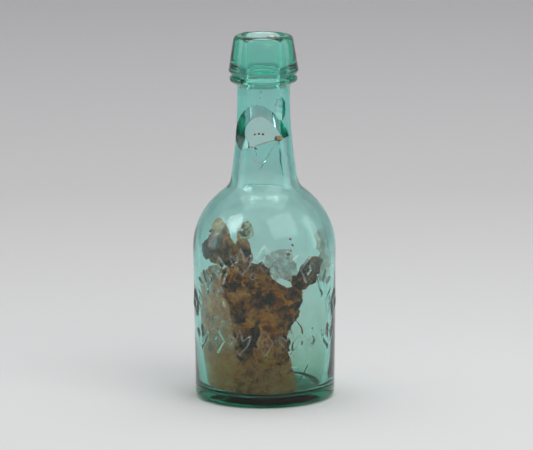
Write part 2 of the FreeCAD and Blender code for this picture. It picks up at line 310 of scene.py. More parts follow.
def lozenge_depth(u, v, size):
    half_width, half_height = size[0] / 2, size[1] / 2
    scale = half_width * half_height / math.hypot(half_width, half_height)
    inside = (1 - np.abs(u) / half_width - np.abs(v) / half_height) * scale
    return STROKE / 2 - np.abs(inside - STROKE / 2)


def bead_depth(u, v, size):
    return size - np.hypot(u, v)


def motifs():
    """Each motif's shape, size, azimuth, height and tilt."""
    for index in range(ARCH_MOTIFS):
        share = 2 * index / (ARCH_MOTIFS - 1) - 1
        shape = palmette_depth if index % 2 else lozenge_depth
        height = ARCH_TOP_Z - ARCH_DROP * share**2
        yield shape, ARCH_MOTIF_SIZE, share * ARCH_REACH, height, share * ARCH_TILT
    for index in range(ROW_MOTIFS):
        share = 2 * index / (ROW_MOTIFS - 1) - 1
        shape = lozenge_depth if index % 2 else palmette_depth
        yield shape, ROW_MOTIF_SIZE, share * ROW_REACH, ROW_Z, 0.0
    for side in (-1, 1):
        yield bead_depth, BEAD_R, side * ARCH_REACH / (ARCH_MOTIFS - 1), ARCH_TOP_Z - BEAD_DROP, 0.0


def relief(azimuth, height):
    """How far the ornament stands out of the wall."""
    raised = np.zeros(azimuth.shape)
    for shape, size, place, middle, tilt in motifs():
        across = BODY_R * np.radians(azimuth - place)
        up = height - middle
        near = (np.abs(across) < 12) & (np.abs(up) < 10)
        lean = math.radians(tilt)
        u = across[near] * math.cos(lean) - up[near] * math.sin(lean)
        v = up[near] * math.cos(lean) + across[near] * math.sin(lean)
        climb = np.clip((shape(u, v, size) + RELIEF_EDGE / 3) / RELIEF_EDGE, 0, 1)
        raised[near] = np.maximum(raised[near], np.sqrt(1 - (1 - climb)**2))
    return RELIEF * raised


# ---- Meshes ----
def in_scene(name, data):
    """An object of this data, in the scene."""
    made = bpy.data.objects.new(name, data)
    bpy.context.scene.collection.objects.link(made)
    return made


def mesh_object(name, points, faces):
    mesh = bpy.data.meshes.new(name)
    mesh.from_pydata(np.asarray(points), [], faces)
    mesh.validate()
    return in_scene(name, mesh)


def ball(name, subdivisions, shape):
    """A ball whose points are moved from the unit sphere by shape."""
    sphere = bmesh.new()
    bmesh.ops.create_icosphere(sphere, subdivisions=subdivisions, radius=1.0)
    unit = np.array([tuple(v.co) for v in sphere.verts])
    for vert, spot in zip(sphere.verts, shape(unit)):
        vert.co = spot
    mesh = bpy.data.meshes.new(name)
    sphere.to_mesh(mesh)
    sphere.free()
    return in_scene(name, mesh)


def turned(name, profile, azimuths, offset, closed):
    """A closed mesh turned from a profile. A profile that isn't closed runs from axis to axis."""
    ahead, behind = np.roll(profile, -1, axis=0), np.roll(profile, 1, axis=0)
    if not closed:
        ahead[-1], behind[0] = profile[-1], profile[0]
    tangent = ahead - behind
    normal = np.stack([tangent[:, 1], -tangent[:, 0]], axis=1)
    normal /= np.linalg.norm(normal, axis=1)[:, None]
    rings = profile if closed else profile[1:-1]
    normals = normal if closed else normal[1:-1]
    inside = np.arange(len(rings)) > np.argmax(rings[:, 1])
    azimuth, radius = np.meshgrid(azimuths, rings[:, 0])
    height = np.repeat(rings[:, 1:], len(azimuths), axis=1)
    side = np.repeat(inside[:, None], len(azimuths), axis=1)
    out = offset(azimuth, radius, height, side)
    points = cylinder_points(azimuth, radius + normals[:, :1] * out, height + normals[:, 1:] * out)
    points = points.reshape(-1, 3)
    index = np.arange(len(points)).reshape(radius.shape)
    beside = np.roll(index, -1, axis=1)
    quads = np.stack([index, beside, np.roll(beside, -1, axis=0), np.roll(index, -1, axis=0)], -1)
    if closed:
        return mesh_object(name, points, quads.reshape(-1, 4).tolist())
    first, last = len(points), len(points) + 1
    faces = quads[:-1].reshape(-1, 4).tolist()
    faces += [(first, b, a) for a, b in zip(index[0].tolist(), beside[0].tolist())]
    faces += [(last, a, b) for a, b in zip(index[-1].tolist(), beside[-1].tolist())]
    points = np.concatenate([points, [[0, 0, profile[0, 1]], [0, 0, profile[-1, 1]]]])
    return mesh_object(name, points, faces)


def waves(points, size):
    """The slow unevenness of hand-blown glass, from about -1 to 1."""
    return fbm(points, size, 2)


def cylinder_points(azimuth, radius, height):
    turn = np.radians(azimuth)
    return np.stack([radius * np.sin(turn), -radius * np.cos(turn), height], -1)


def around_axis(points):
    """The azimuth and the radius of these points."""
    x, y = points[..., 0], points[..., 1]
    return np.degrees(np.arctan2(x, -y)), np.hypot(x, y)


def wavy(azimuth, radius, height, wave, shift=0.0, squash=(1, 1, 1)):
    """Waves of this width and height on the glass."""
    size, amplitude = wave
    points = cylinder_points(azimuth, radius, height).reshape(-1, 3) * squash + shift
    return waves(points, size).reshape(azimuth.shape) * amplitude


def still(height):
    """0 at the neck's end and the foot, which stay as they are, and 1 between."""
    return smooth((NECK_TOP[1] - height) / 6.0) * smooth(height / 4.0)


def inner_wave(azimuth, radius, height):
    """How far the inner wall stands in from its profile."""
    return wavy(azimuth, radius, height, INNER_WAVE, 50.0) * still(height)


def body_offset(azimuth, radius, height, inner):
    """Ornament and unevenness of the bottle body."""
    outer_wave = wavy(azimuth, radius, height, OUTER_WAVE) * still(height)
    wave = np.where(inner, inner_wave(azimuth, radius, height), outer_wave)
    raised = np.zeros(azimuth.shape)
    decorated = ~inner & (radius > BODY_R * 0.9) & (height > HEEL_ROUND)
    raised[decorated] = relief(azimuth[decorated], height[decorated])
    return wave + raised


def lip_offset(azimuth, radius, height, inner):
    """Unevenness of the lip, with the streaks that the tool left."""
    wave = wavy(azimuth, radius, height, LIP_WAVE)
    streaks = wavy(azimuth, radius, height, LIP_STREAK, squash=(1, 1, 0.1))
    return (wave + streaks) * smooth((height - NECK_TOP[1]) / 2.0)


def body_azimuths():
    """Fine steps over the front, which has the ornament, and coarse ones over the back."""
    front = np.arange(-84, 84, 0.7)
    back = np.arange(84, 276, 2.4)
    return np.concatenate([front, back])


# ---- Cutting ----
def combine(target, tool, operation):
    """Applies a boolean to target and removes the tool."""
    change = target.modifiers.new("cut", "BOOLEAN")
    change.operation = operation
    change.solver = "MANIFOLD"
    change.object = tool
    graph = bpy.context.evaluated_depsgraph_get()
    result = bpy.data.meshes.new_from_object(target.evaluated_get(graph))
    target.modifiers.clear()
    target.data = result
    bpy.data.objects.remove(tool)


def thick_grid(name, front, back):
    """A closed mesh between two grids of points."""
    rows, columns = front.shape[:2]
    size = rows * columns
    index = np.arange(size).reshape(rows, columns)
    sheet = np.stack([index[:-1, :-1], index[:-1, 1:], index[1:, 1:], index[1:, :-1]], -1)
    sheet = sheet.reshape(-1, 4)
    border = np.concatenate([index[0], index[1:, -1], index[-1, -2::-1], index[-2:0:-1, 0]])
    after = np.roll(border, -1)
    rim = np.stack([after, border, border + size, after + size], -1)
    faces = np.concatenate([sheet, sheet[:, ::-1] + size, rim])
    points = np.concatenate([front.reshape(-1, 3), back.reshape(-1, 3)])
    made = mesh_object(name, points, faces.tolist())
    outward(made)
    return made


def break_slab(face, seed):
    """A deep slab on the far side of one rippled face of the break."""
    point, normal = face
    half, step, deep = 24.0, 0.6, 40.0
    axis = np.arange(-half, half + step / 2, step)
    across, up = np.meshgrid(axis, axis)
    flat = np.stack([across, up, np.full(across.shape, seed * 40.0)], -1).reshape(-1, 3)
    strike = np.hypot(across - 9, up - 6)
    ripple = 0.05 * np.sin(strike * 3.2 + 2 * waves(flat, 8.0).reshape(across.shape))
    depth = ripple + 0.45 * waves(flat, 9.0).reshape(across.shape)
    turn = np.array(Vector(normal).to_track_quat("Z", "Y").to_matrix()).T
    near, far = (np.stack([across, up, out], -1) @ turn + np.array(point)
                 for out in (depth, np.full(across.shape, deep)))
    return thick_grid("break", near, far)


def crack(ends, bow, dip, deep):
    """A thin gash from one point of the neck's outside to another, bowed, that dips inwards."""
    start, end = (on_outside(x, z, CRACK_START) for x, z in ends)
    t = np.linspace(0, 1, 24)[:, None]
    track = start + (end - start) * t + np.array([0, 0, bow]) * np.sin(math.pi * t)
    track[:, 1] = [on_outside(x, z, CRACK_START)[1] for x, _, z in track]
    dip = np.array(dip) / np.linalg.norm(dip)
    share = np.linspace(0, 1, 10)[None, :, None]
    reach = deep * np.sin(math.pi * (0.08 + 0.88 * t[:, :, None]))**0.6
    sheet = track[:, None] + dip * share * reach
    side = np.cross(end - start, dip)
    side /= np.linalg.norm(side)
    sheet = sheet + side * 0.5 * noise(sheet, 4.0, 2)[..., None]
    open_by = side * CRACK_WIDTH * (1.2 - share)
    return thick_grid("crack", sheet, sheet + open_by)


def flake(azimuth, radius, height, half_axes):
    """The hollow of a missing flake: an ellipsoid with faint ripples."""
    def swollen(unit):
        swell = 1 + 0.03 * np.sin(unit[:, 2] * 14 + unit[:, 0] * 3) + 0.05 * fbm(unit, 0.8, 2)
        return unit * swell[:, None] * np.array(half_axes) + (0, -radius, height)

    made = ball("flake", 5, swollen)
    made.data.transform(Matrix.Rotation(math.radians(azimuth), 4, "Z"))
    return made


def outward(piece):
    """Turns every face outwards."""
    shape = bmesh.new()
    shape.from_mesh(piece.data)
    bmesh.ops.recalc_face_normals(shape, faces=shape.faces)
    shape.to_mesh(piece.data)
    shape.free()


def soften(piece, angle):
    """Smooths the shading of edges under this many degrees."""
    piece.data.shade_smooth()
    piece.data.set_sharp_from_angle(angle=math.radians(angle))


def join(first, *others):
    """One object of several."""
    bpy.ops.object.select_all(action="DESELECT")
    for piece in (first, *others):
        piece.select_set(True)
    bpy.context.view_layer.objects.active = first
    bpy.ops.object.join()
    first.select_set(False)
    return first


def make_body():
    body = turned("bottle_glass", body_profile(), body_azimuths(), body_offset, False)
    outward(body)
    for side, seed in ((BREAK_CORNER, 3), (CORNER_END, 4)):
        missing = break_slab(BREAK_BACK, 1)
        combine(missing, break_slab(BREAK_FLOOR, 2), "INTERSECT")
        combine(missing, break_slab(side, seed), "INTERSECT")
        combine(body, missing, "DIFFERENCE")
    combine(body, flake(*NECK_CHIP), "DIFFERENCE")
    for gash in CRACKS:
        combine(body, crack(*gash), "DIFFERENCE")
    body = join(body, *seeds())
    mark_slope_sheen(body)
    soften(body, 32)
    return body


def seeds():
    """Bubbles in the glass: some in the neck's front, and small ones scattered in the wall."""
    rng = np.random.default_rng(5)
    found = [(on_outside(x, z, -SEED_DEPTH), size) for x, z, size in SEEDS]
    for _ in range(SMALL_SEEDS):
        height, turn = rng.uniform(12, 150), rng.uniform(0, 2 * math.pi)
        inner, outer = inner_radius(height), outer_radius(height)
        radius = inner + (outer - inner) * rng.uniform(0.4, 0.6)
        spot = np.array([radius * math.sin(turn), -radius * math.cos(turn), height])
        found.append((spot, rng.uniform(0.12, 0.26)))
    return [bubble(spot, size) for spot, size in found if not near_break(spot)]


def near_break(spot):
    return spot[1] < 0 and abs(spot[2] - 132) < 12


def bubble(spot, size):
    """A small hollow in the glass, drawn out upwards, with its faces turned inwards."""
    made = ball("bubble", 2, lambda unit: unit * size * (1, 1, SEED_DRAW) + spot)
    made.data.flip_normals()
    return made


def mark_slope_sheen(body):
    """Marks the sides of the raised lines for a painted pale sheen, which stands in for the bright
    surroundings that these slopes reflect.
    """
    points = np.array([tuple(v.co) for v in body.data.vertices])
    azimuth, radius = around_axis(points)
    height = points[:, 2]
    reach = 0.35
    turn = math.degrees(reach / BODY_R)
    across = relief(azimuth + turn, height) - relief(azimuth - turn, height)
    up = relief(azimuth, height + reach) - relief(azimuth, height - reach)
    steep = np.hypot(across, up) / (2 * reach)
    outside = radius > outer_radius(height) - 0.5
    slope_sheen = smooth(steep / 0.9) * outside * (0.65 + 0.35 * fbm(points, 2.5, 3))
    marks = body.data.attributes.new("slope_sheen", "FLOAT", "POINT")
    marks.data.foreach_set("value", np.clip(slope_sheen, 0, 1).astype(np.float32))


def make_lip():
    lip = turned("lip_glass", lip_profile(), np.arange(0, 360, 1.5), lip_offset, True)
    outward(lip)
    for missing in (RIM_FLAKE, RIM_NOTCH, RING_CHIP):
        combine(lip, flake(*missing), "DIFFERENCE")
    soften(lip, 32)
    return lip


# ---- Deposits ----
GAP = 0.08  # clearance between the deposits and the glass
INSIDE = inner_profile()[::-1]
ALONG = np.concatenate([[0], np.cumsum(np.linalg.norm(np.diff(INSIDE, axis=0), axis=1))])
FRONT_WALL = (np.arange(-82, 82, 0.7), np.arange(19.0, 128.0, 0.4))

# Outlines are (x, z) poles of smooth closed lines, seen from the front, much as in the CAD model.
TRUNK = [(-12.5, 21), (-4, 24), (7, 19), (11.5, 22), (9.5, 37), (14.5, 47), (19.5, 57.5),
         (10, 60.5), (4, 66), (-3, 71.5), (-12, 71.5), (-20.5, 70), (-20.5, 60), (-14.5, 47),
         (-13.5, 33)]
SILT_FILM = [(-26, 12.5), (-12, 8.6), (1, 8), (10.5, 9), (9.5, 15), (4, 30), (-4, 40),
             (-12, 55), (-20, 66), (-26, 65), (-28.6, 52), (-27.5, 36), (-26, 22)]
RUST_STREAK = [(0.5, 13), (3.6, 22), (2.6, 33), (3.4, 44), (0, 49), (-3, 42), (-2, 30),
               (-1.5, 20)]
RUST_PATCHES = [(-14.3, 67, 2.6), (9.4, 53, 2.4), (7.2, 55.5, 1.5), (-6.6, 42.7, 2.2),
                (3.7, 36.9, 2.0), (-3.4, 46.1, 2.4), (1.5, 17.5, 2.2), (-1.0, 34.0, 3.0)]
TIDE_LINES = [[(17.5, 52.0), (15.2, 48.2), (14.0, 44.6), (11.2, 42.4), (9.9, 38.6)],
              [(13.9, 44.4), (15.6, 42.4), (17.3, 39.6), (17.9, 35.4), (17.4, 31.0)],
              [(10.8, 40.6), (12.6, 38.2), (13.4, 33.6), (12.6, 29.0)]]
RIGHT_BRANCH = [(12.5, 61), (19.5, 58.6), (23.6, 63), (25.6, 70), (24, 74.5), (20.5, 70),
                (15, 66.5)]
LEFT_TORSO = [(-27.6, 73.5), (-25, 75), (-22, 71), (-14.5, 72), (-16, 80), (-18, 89.5),
              (-24.5, 88.5), (-24.6, 81), (-27.4, 79.5)]
MID_STALK = [(-14, 72.6), (-8.5, 73), (-6.5, 78), (-8, 84), (-11.5, 84.5), (-14, 80)]
UPPER_FILM = [(3, 67.6), (11, 62.6), (13.4, 67), (13, 76), (8, 79.5), (3, 77), (1, 72)]
RIGHT_STAIN = [(25, 63), (28.6, 60), (30, 70), (28.6, 82), (25.6, 85), (24.6, 78), (26.6, 71)]
LEFT_HEAD = ((-21.9, -18.2, 87.7), (3.9, 3.5, 3.8))
MID_HEAD = ((-9.2, -27.2, 87.6), (3.9, 3.4, 3.7))
FLOOR_REACH = 24.0  # from the middle of the floor to its corner
FLOOR_SILT_R = 21.0
FLOOR_SILT = 1.4
RUST_SPECKS = [(12.2, 83.5), (13.3, 80.6), (12.4, 78.2), (11.2, 76.4)]
NECK_SPECKS = [(-4.4, 130.1), (-2.4, 130.2), (-0.4, 129.9)]
SPECK_R = 0.5
GRAINS = [(-6.0, 161.6), (-5.1, 161.9), (-4.2, 161.3), (-3.4, 161.8), (8.7, 157.6), (10.4, 157.2),
          (6.5, 141.4), (7.9, 138.4), (7.2, 139.6), (-9.6, 157.4), (-8.2, 162.8), (1.2, 161.5),
          (11.6, 178.9)]
LOW_RUST = [(-5.6, 121.6), (-4.6, 120.0), (-2.4, 119.2), (-0.4, 119.8)]
FIBRE = [(20.5, 17.5), (17.5, 11.5), (12.6, 9.2)]
FIBRE_TRACK_R = 24.6
FIBRE_R = 0.3


def inner_radius(z):
    return np.interp(z, INSIDE[:, 1], INSIDE[:, 0])


def wall_points(azimuth, along, depth):
    """Points this far inside the inner wall. along runs from the floor's middle up the wall."""
    radius, height = (np.interp(along, ALONG, INSIDE[:, axis]) for axis in (0, 1))
    run, rise = (np.interp(along + 0.5, ALONG, INSIDE[:, axis])
                 - np.interp(along - 0.5, ALONG, INSIDE[:, axis]) for axis in (0, 1))
    depth = depth + inner_wave(azimuth, radius, height)
    length = np.hypot(run, rise)
    return cylinder_points(azimuth, radius - rise / length * depth, height + run / length * depth)


def spline_loop(poles, count=6):
    """Points of the smooth closed line that these poles shape."""
    before, here, after, later = (np.roll(poles, shift, axis=0) for shift in (1, 0, -1, -2))
    t = np.linspace(0, 1, count, endpoint=False)[:, None, None]
    points = ((1 - t)**3 * before + (3 * t**3 - 6 * t**2 + 4) * here
              + (1 + 3 * t + 3 * t**2 - 3 * t**3) * after + t**3 * later) / 6
    return points.transpose(1, 0, 2).reshape(-1, 2)


def off_segments(x, z, starts, ends):
    """How far each point lies from the nearest of these segments."""
    nearest = np.full(x.shape, np.inf)
    for (ax, az), (bx, bz) in zip(starts, ends):
        run, rise = bx - ax, bz - az
        share = np.clip(((x - ax) * run + (z - az) * rise) / (run**2 + rise**2), 0, 1)
        nearest = np.minimum(nearest, np.hypot(x - ax - share * run, z - az - share * rise))
    return nearest


def within(points, poles):
    """How far inside the outline each point lies, seen from the front."""
    x, z = points[..., 0], points[..., 2]
    loop = spline_loop(poles)
    after = np.roll(loop, -1, axis=0)
    inside = np.zeros(x.shape, bool)
    for (ax, az), (bx, bz) in zip(loop, after):
        inside ^= ((az > z) != (bz > z)) & (x < ax + (bx - ax) * (z - az) / (bz - az or 1e-9))
    nearest = off_segments(x, z, loop, after)
    return np.where(inside, nearest, -nearest)


def layer(name, grid, cover, depth, thickness, place=wall_points):
    """A closed ragged layer where cover is above 0. Its edge is the line where cover is 0."""
    across, up = np.meshgrid(*grid)
    rise_up, rise_across = np.gradient(cover)
    steepness = rise_up**2 + rise_across**2 + 1e-9
    at_edge = np.abs(cover) < 0.7 * np.sqrt(steepness)
    slide = np.where(at_edge, -cover / steepness, 0)
    across = across + slide * rise_across * (grid[0][1] - grid[0][0])
    up = up + slide * rise_up * (grid[1][1] - grid[1][0])
    kept = np.zeros((cover.shape[0] + 1, cover.shape[1] + 1), bool)
    kept[1:-1, 1:-1] = (cover[:-1, :-1] + cover[1:, :-1] + cover[:-1, 1:] + cover[1:, 1:]) > 0
    front = place(across, up, depth)
    back = place(across, up, depth + thickness * smooth(cover / 1.5) + 0.12)
    size = cover.size
    index = np.arange(size).reshape(cover.shape)
    cells = kept[1:-1, 1:-1]
    a, b = index[:-1, :-1], index[:-1, 1:]
    c, d = index[1:, 1:], index[1:, :-1]
    faces = [np.stack([a, b, c, d], -1)[cells], np.stack([d, c, b, a], -1)[cells] + size]
    for beside, first, last in ((kept[:-2, 1:-1], b, a), (kept[2:, 1:-1], d, c),
                                (kept[1:-1, :-2], a, d), (kept[1:-1, 2:], c, b)):
        open_side = cells & ~beside
        first, last = first[open_side], last[open_side]
        faces.append(np.stack([first, last, last + size, first + size], -1))
    faces = np.concatenate(faces)
    used, faces = np.unique(faces, return_inverse=True)
    points = np.concatenate([front.reshape(-1, 3), back.reshape(-1, 3)])[used]
    made = mesh_object(name, points, faces.reshape(-1, 4).tolist())
    outward(made)
    soften(made, 50)
    return made


FRONT_POINTS = wall_points(*np.meshgrid(*FRONT_WALL), GAP)


def rust_cover():
    """The streak and the patches of rust, broken up into flecks towards their edges."""
    near = within(FRONT_POINTS, RUST_STREAK) + 1.5
    for x, z, size in RUST_PATCHES:
        away = np.hypot(FRONT_POINTS[..., 0] - x, FRONT_POINTS[..., 2] - z)
        near = np.maximum(near, size - away)
    return near * 0.7 + 2.8 * noise(FRONT_POINTS, 3.0, 3) + 0.3


def spread(poles, ragged, size, grown, shift=0.0):
    """Cover of the front wall inside an outline, grown by a little and ragged at this size."""
    return within(FRONT_POINTS, poles) + ragged * noise(FRONT_POINTS + shift, size) + grown


def trunk_cover():
    return spread(TRUNK, 2.0, 5.0, 1.0)


def film_cover():
    return np.minimum(spread(SILT_FILM, 2.0, 7.0, 4.8), 0.6 - trunk_cover())


def clod(name, place, half_axes, seed, free=False):
    """A lump of soil. Unless it is free, it lies against the inner wall and stays inside."""
    def lumpy(unit):
        swell = 1.08 + 0.14 * fbm(unit + seed, 0.9, 3) + 0.06 * fbm(unit + seed, 0.2, 2)
        points = unit * swell[:, None] * np.array(half_axes) + np.array(place)
        if not free:
            azimuth, radius = around_axis(points)
            wall = inner_radius(points[:, 2])
            wall = wall - inner_wave(azimuth, wall, points[:, 2]) - 2.5 * GAP
            points[:, :2] *= np.minimum(1, wall / radius)[:, None]
        return points

    made = ball(name, 5, lumpy)
    made.data.shade_smooth()
    return made


def floor_points(across, up, depth):
    """Points this high above the bottle's inner floor."""
    azimuth, radius = around_axis(np.stack([across, up], -1))
    on_floor = ALONG < FLOOR_REACH
    height = np.interp(radius, INSIDE[on_floor, 0], INSIDE[on_floor, 1])
    return np.stack([across, up, height + depth + inner_wave(azimuth, radius, height)], -1)


def make_floor_silt():
    axis = np.arange(-24, 24.2, 0.5)
    points = floor_points(*np.meshgrid(axis, axis), 0)
    radius = np.hypot(points[..., 0], points[..., 1])
    bare = 10.0 - points[..., 0]
    cover = np.minimum(FLOOR_SILT_R + 1.0 - radius, bare) + 2.0 * noise(points, 6.0)
    depth = FLOOR_SILT * (0.8 + 0.5 * noise(points, 5.0))
    return layer("dried_floor_silt", (axis, axis), cover, GAP, depth, floor_points)


def thread(name, track, thickness, around=8):
    """A thin tapering thread along a track of points."""
    points, faces = [], []
    for step, spot in enumerate(track):
        ahead = track[min(step + 1, len(track) - 1)] - track[max(step - 1, 0)]
        turn = np.array(Vector(ahead).to_track_quat("Z", "Y").to_matrix())
        radius = thickness * (0.95 - 0.5 * step / len(track))
        for angle in np.linspace(0, 2 * math.pi, around, endpoint=False):
            points.append(spot + turn @ (radius * math.cos(angle), radius * math.sin(angle), 0))
    for step, side in itertools.product(range(len(track) - 1), range(around)):
        low, beside = step * around, (side + 1) % around
        faces.append((low + side, low + beside, low + around + beside, low + around + side))
    faces += [tuple(range(around))[::-1], tuple(range(len(points) - around, len(points)))]
    made = mesh_object(name, np.array(points), faces)
    made.data.shade_smooth()
    return made


def make_fibre():
    """A thin rootlet, bowed along the wall near the floor."""
    ends = np.array([FIBRE[0], *FIBRE, FIBRE[-1]], float)
    t = np.linspace(0, 1, 12, endpoint=False)[:, None]
    runs = []
    for start, here, end in zip(ends, ends[1:], ends[2:]):
        first, last = (start + here) / 2, (here + end) / 2
        runs.append((1 - t)**2 * first + 2 * t * (1 - t) * here + t**2 * last)
    track = np.concatenate(runs)
    track = np.stack([track[:, 0], -np.sqrt(FIBRE_TRACK_R**2 - track[:, 0]**2), track[:, 1]], -1)
    track += 0.12 * np.stack([noise(track + seed, 3.0, 2) for seed in (0, 30, 60)], -1)
    return thread("root_fibre_thread", track, FIBRE_R)


def make_specks():
    """Grains of rust on the front of the shoulder, and on the back of the neck's bore."""
    grains = []
    for spots, off_wall, side in ((RUST_SPECKS, 0.9, -1), (NECK_SPECKS, 0.7, 1)):
        for x, z in spots:
            wall = inner_radius(z) - off_wall
            grains.append((x, side * math.sqrt(wall**2 - x**2), z))
    made = [clod(f"grain_{index}", grain, (SPECK_R * 1.1, SPECK_R, SPECK_R), index)
            for index, grain in enumerate(grains)]
    specks = join(*made)
    specks.name = "rust_grains"
    return specks


# ---- Materials ----
DENSITY = 150.0  # the highest rate per metre at which the glass can take up a colour
SLOPE_SHEEN_TRANSMISSION = 0.70  # transmission on the slopes of the raised lines, where the base colour shows as a painted pale sheen
DIRT_DEPTH = 84.0  # height over which the grime grows
GRIME = (0.72, 0.60, 0.52)
# Haze on the glass and a painted pale sheen over the shoulder, as a loss of transmission: it grows
# with height and fades up the neck.
HAZE_AND_SHEEN_RISE = (66 * MM, 94 * MM, 0.01, 0.085)
HAZE_AND_SHEEN_FALL = (112 * MM, 130 * MM, 1.0, 0.3)


class Stuff:
    """A material and short ways to add nodes to it."""

    def __init__(self, name):
        self.made = bpy.data.materials.new(name)
        self.made.use_nodes = True
        self.nodes = self.made.node_tree.nodes
        self.shader = self.nodes["Principled BSDF"]

    def fill(self, node, **values):
        """Puts a constant or another node's output on each of these sockets."""
        for name, value in values.items():
            socket = node.inputs[name.replace("_", " ")]
            if isinstance(value, bpy.types.NodeSocket):
                self.made.node_tree.links.new(value, socket)
            else:
                socket.default_value = value

    def node(self, kind, **values):
        made = self.nodes.new("ShaderNode" + kind)
        self.fill(made, **values)
        return made

    def noise(self, size, detail, rough, distortion=0.0):
        """A noise with features of this size in millimetres."""
        where = self.node("TexCoord").outputs["Object"]
        return self.node("TexNoise", Vector=where, Scale=1 / (size * MM), Detail=detail,
                         Roughness=rough, Distortion=distortion).outputs["Fac"]

    def remap(self, source, low, high, out_low, out_high):
        """A value that runs from out_low to out_high as the source runs from low to high."""
        return self.node("MapRange", Value=source, From_Min=low, From_Max=high, To_Min=out_low,
                         To_Max=out_high).outputs["Result"]

    def maths(self, operation, first, second):
        made = self.node("Math")
        made.operation = operation
        self.made.node_tree.links.new(first, made.inputs[0])
        self.made.node_tree.links.new(second, made.inputs[1])
        return made.outputs["Value"]

    def along(self, axis):
        """Where the shaded point lies along this axis, in metres."""
        where = self.node("TexCoord").outputs["Object"]
        return self.node("SeparateXYZ", Vector=where).outputs[axis]

    def mark(self, name):
        """The value of this mark on the mesh."""
        made = self.node("Attribute")
        made.attribute_name = name
        return made.outputs["Fac"]

    def ramp(self, stops, source):
        """A colour that runs through these (position, colour) stops."""
        made = self.node("ValToRGB", Fac=source)
        elements = made.color_ramp.elements
        elements[0].position, elements[0].color = stops[0][0], (*stops[0][1], 1)
        elements[1].position, elements[1].color = stops[-1][0], (*stops[-1][1], 1)
        for position, colour in stops[1:-1]:
            elements.new(position).color = (*colour, 1)
        return made.outputs["Color"]


def aqua_glass(name, take_up, dirt_top):
    """Glass that takes up light at this rate per metre, by colour, and is grimy below dirt_top."""
    stuff = Stuff(name)
    height = stuff.along("Z")
    # A pale band over the shoulder: partly haze on the glass, partly a painted highlight in place
    # of a broad soft reflection.
    rise, fall = stuff.remap(height, *HAZE_AND_SHEEN_RISE), stuff.remap(height, *HAZE_AND_SHEEN_FALL)
    streaky = stuff.remap(stuff.noise(11.0, 5.0, 0.6), 0.3, 0.7, 0.35, 1.65)
    haze_and_sheen = stuff.maths("MULTIPLY", stuff.maths("MULTIPLY", rise, fall), streaky)
    # Painted pale sheen on the slopes of the raised lines: less transmission there lets the base
    # colour show, in place of reflected light.
    clear = stuff.remap(stuff.mark("slope_sheen"), 0, 1, 1.0, SLOPE_SHEEN_TRANSMISSION)
    low = stuff.remap(height, dirt_top * MM, (dirt_top - DIRT_DEPTH) * MM, 0, 1)
    patchy = stuff.remap(stuff.noise(14.0, 6.0, 0.6), 0.25, 0.7, 0.4, 1.0)
    grime = stuff.ramp([(0.0, (1, 1, 1)), (1.0, GRIME)], stuff.maths("MULTIPLY", low, patchy))
    stuff.fill(stuff.shader, IOR=1.5, Roughness=0.0, Specular_Tint=(0.55, 0.55, 0.55, 1),
               Transmission_Weight=stuff.maths("SUBTRACT", clear, haze_and_sheen), Base_Color=grime,
               Alpha=stuff.remap(stuff.mark("seam"), 0, 1, 1.0, 0.0))
    passed = (*(1 - rate / DENSITY for rate in take_up), 1)
    absorb = stuff.node("VolumeAbsorption", Color=passed, Density=DENSITY)
    stuff.fill(stuff.nodes["Material Output"], Volume=absorb.outputs["Volume"])
    return stuff.made


def mottled(name, stops, size, relief_depth, grain=0.35, film=None):
    """An earthy stuff: patches that run through these colours, finer grains and a pitted face.

    A film lets light through in patches, with a least and a most alpha, except below a height."""
    stuff = Stuff(name)
    patches = stuff.noise(size, 8.0, 0.72, 0.5)
    zone = stuff.remap(stuff.noise(size * 3.5, 2.0, 0.5), 0.3, 0.7, -0.12, 0.10)
    colour = stuff.ramp(stops, stuff.maths("ADD", patches, zone))
    shade = stuff.remap(stuff.noise(0.6, 3.0, 0.5), 0.3, 0.7, 1 - grain, 1 + grain)
    tone = stuff.node("VectorMath")
    tone.operation = "SCALE"
    stuff.fill(tone, Vector=colour, Scale=shade)
    pits = stuff.node("Bump", Strength=1.0, Distance=relief_depth * MM, Height=patches)
    stuff.fill(stuff.shader, Roughness=0.85, Specular_IOR_Level=0.2,
               Base_Color=tone.outputs["Vector"], Normal=pits.outputs["Normal"])
    if film:
        least, most, solid_below = film
        opacity = stuff.remap(stuff.noise(3.5, 7.0, 0.7), 0.35, 0.65, least, most)
        low = stuff.remap(stuff.along("Z"), (solid_below + 12) * MM, solid_below * MM, 0, 1)
        stuff.fill(stuff.shader, Alpha=stuff.maths("MAXIMUM", opacity, low))
    return stuff.made


SOIL = mottled("caked_soil", [(0.36, (0.03, 0.007, 0.003)), (0.45, (0.20, 0.045, 0.012)),
                              (0.53, (0.62, 0.15, 0.030)), (0.64, (1.0, 0.36, 0.10))], 4.2, 1.0)
DARK_SOIL = mottled("dark_soil", [(0.40, (0.03, 0.007, 0.003)), (0.50, (0.20, 0.050, 0.014)),
                                  (0.60, (0.55, 0.15, 0.038)), (0.72, (1.0, 0.36, 0.10))], 3.4, 1.0)
TAN_SOIL = mottled("tan_soil", [(0.35, (0.30, 0.10, 0.03)), (0.5, (0.85, 0.36, 0.12)),
                                (0.66, (1.0, 0.55, 0.22))], 4.0, 0.8)
PEBBLE = mottled("pale_pebble", [(0.38, (0.14, 0.07, 0.05)), (0.47, (0.70, 0.42, 0.28)),
                                 (0.56, (1.0, 0.80, 0.64))], 3.0, 0.5)
SILT_STOPS = [(0.36, (0.42, 0.10, 0.025)), (0.50, (1.0, 0.29, 0.085)), (0.66, (1.0, 0.47, 0.17))]
STAIN_STOPS = [(0.36, (0.16, 0.04, 0.010)), (0.5, (0.50, 0.16, 0.045)), (0.66, (0.80, 0.33, 0.11))]
SILT = mottled("dried_silt", SILT_STOPS, 4.0, 0.4, 0.3)
FILM = mottled("silt_film", SILT_STOPS, 4.0, 0.3, 0.3, (0.30, 0.90, 24.0))
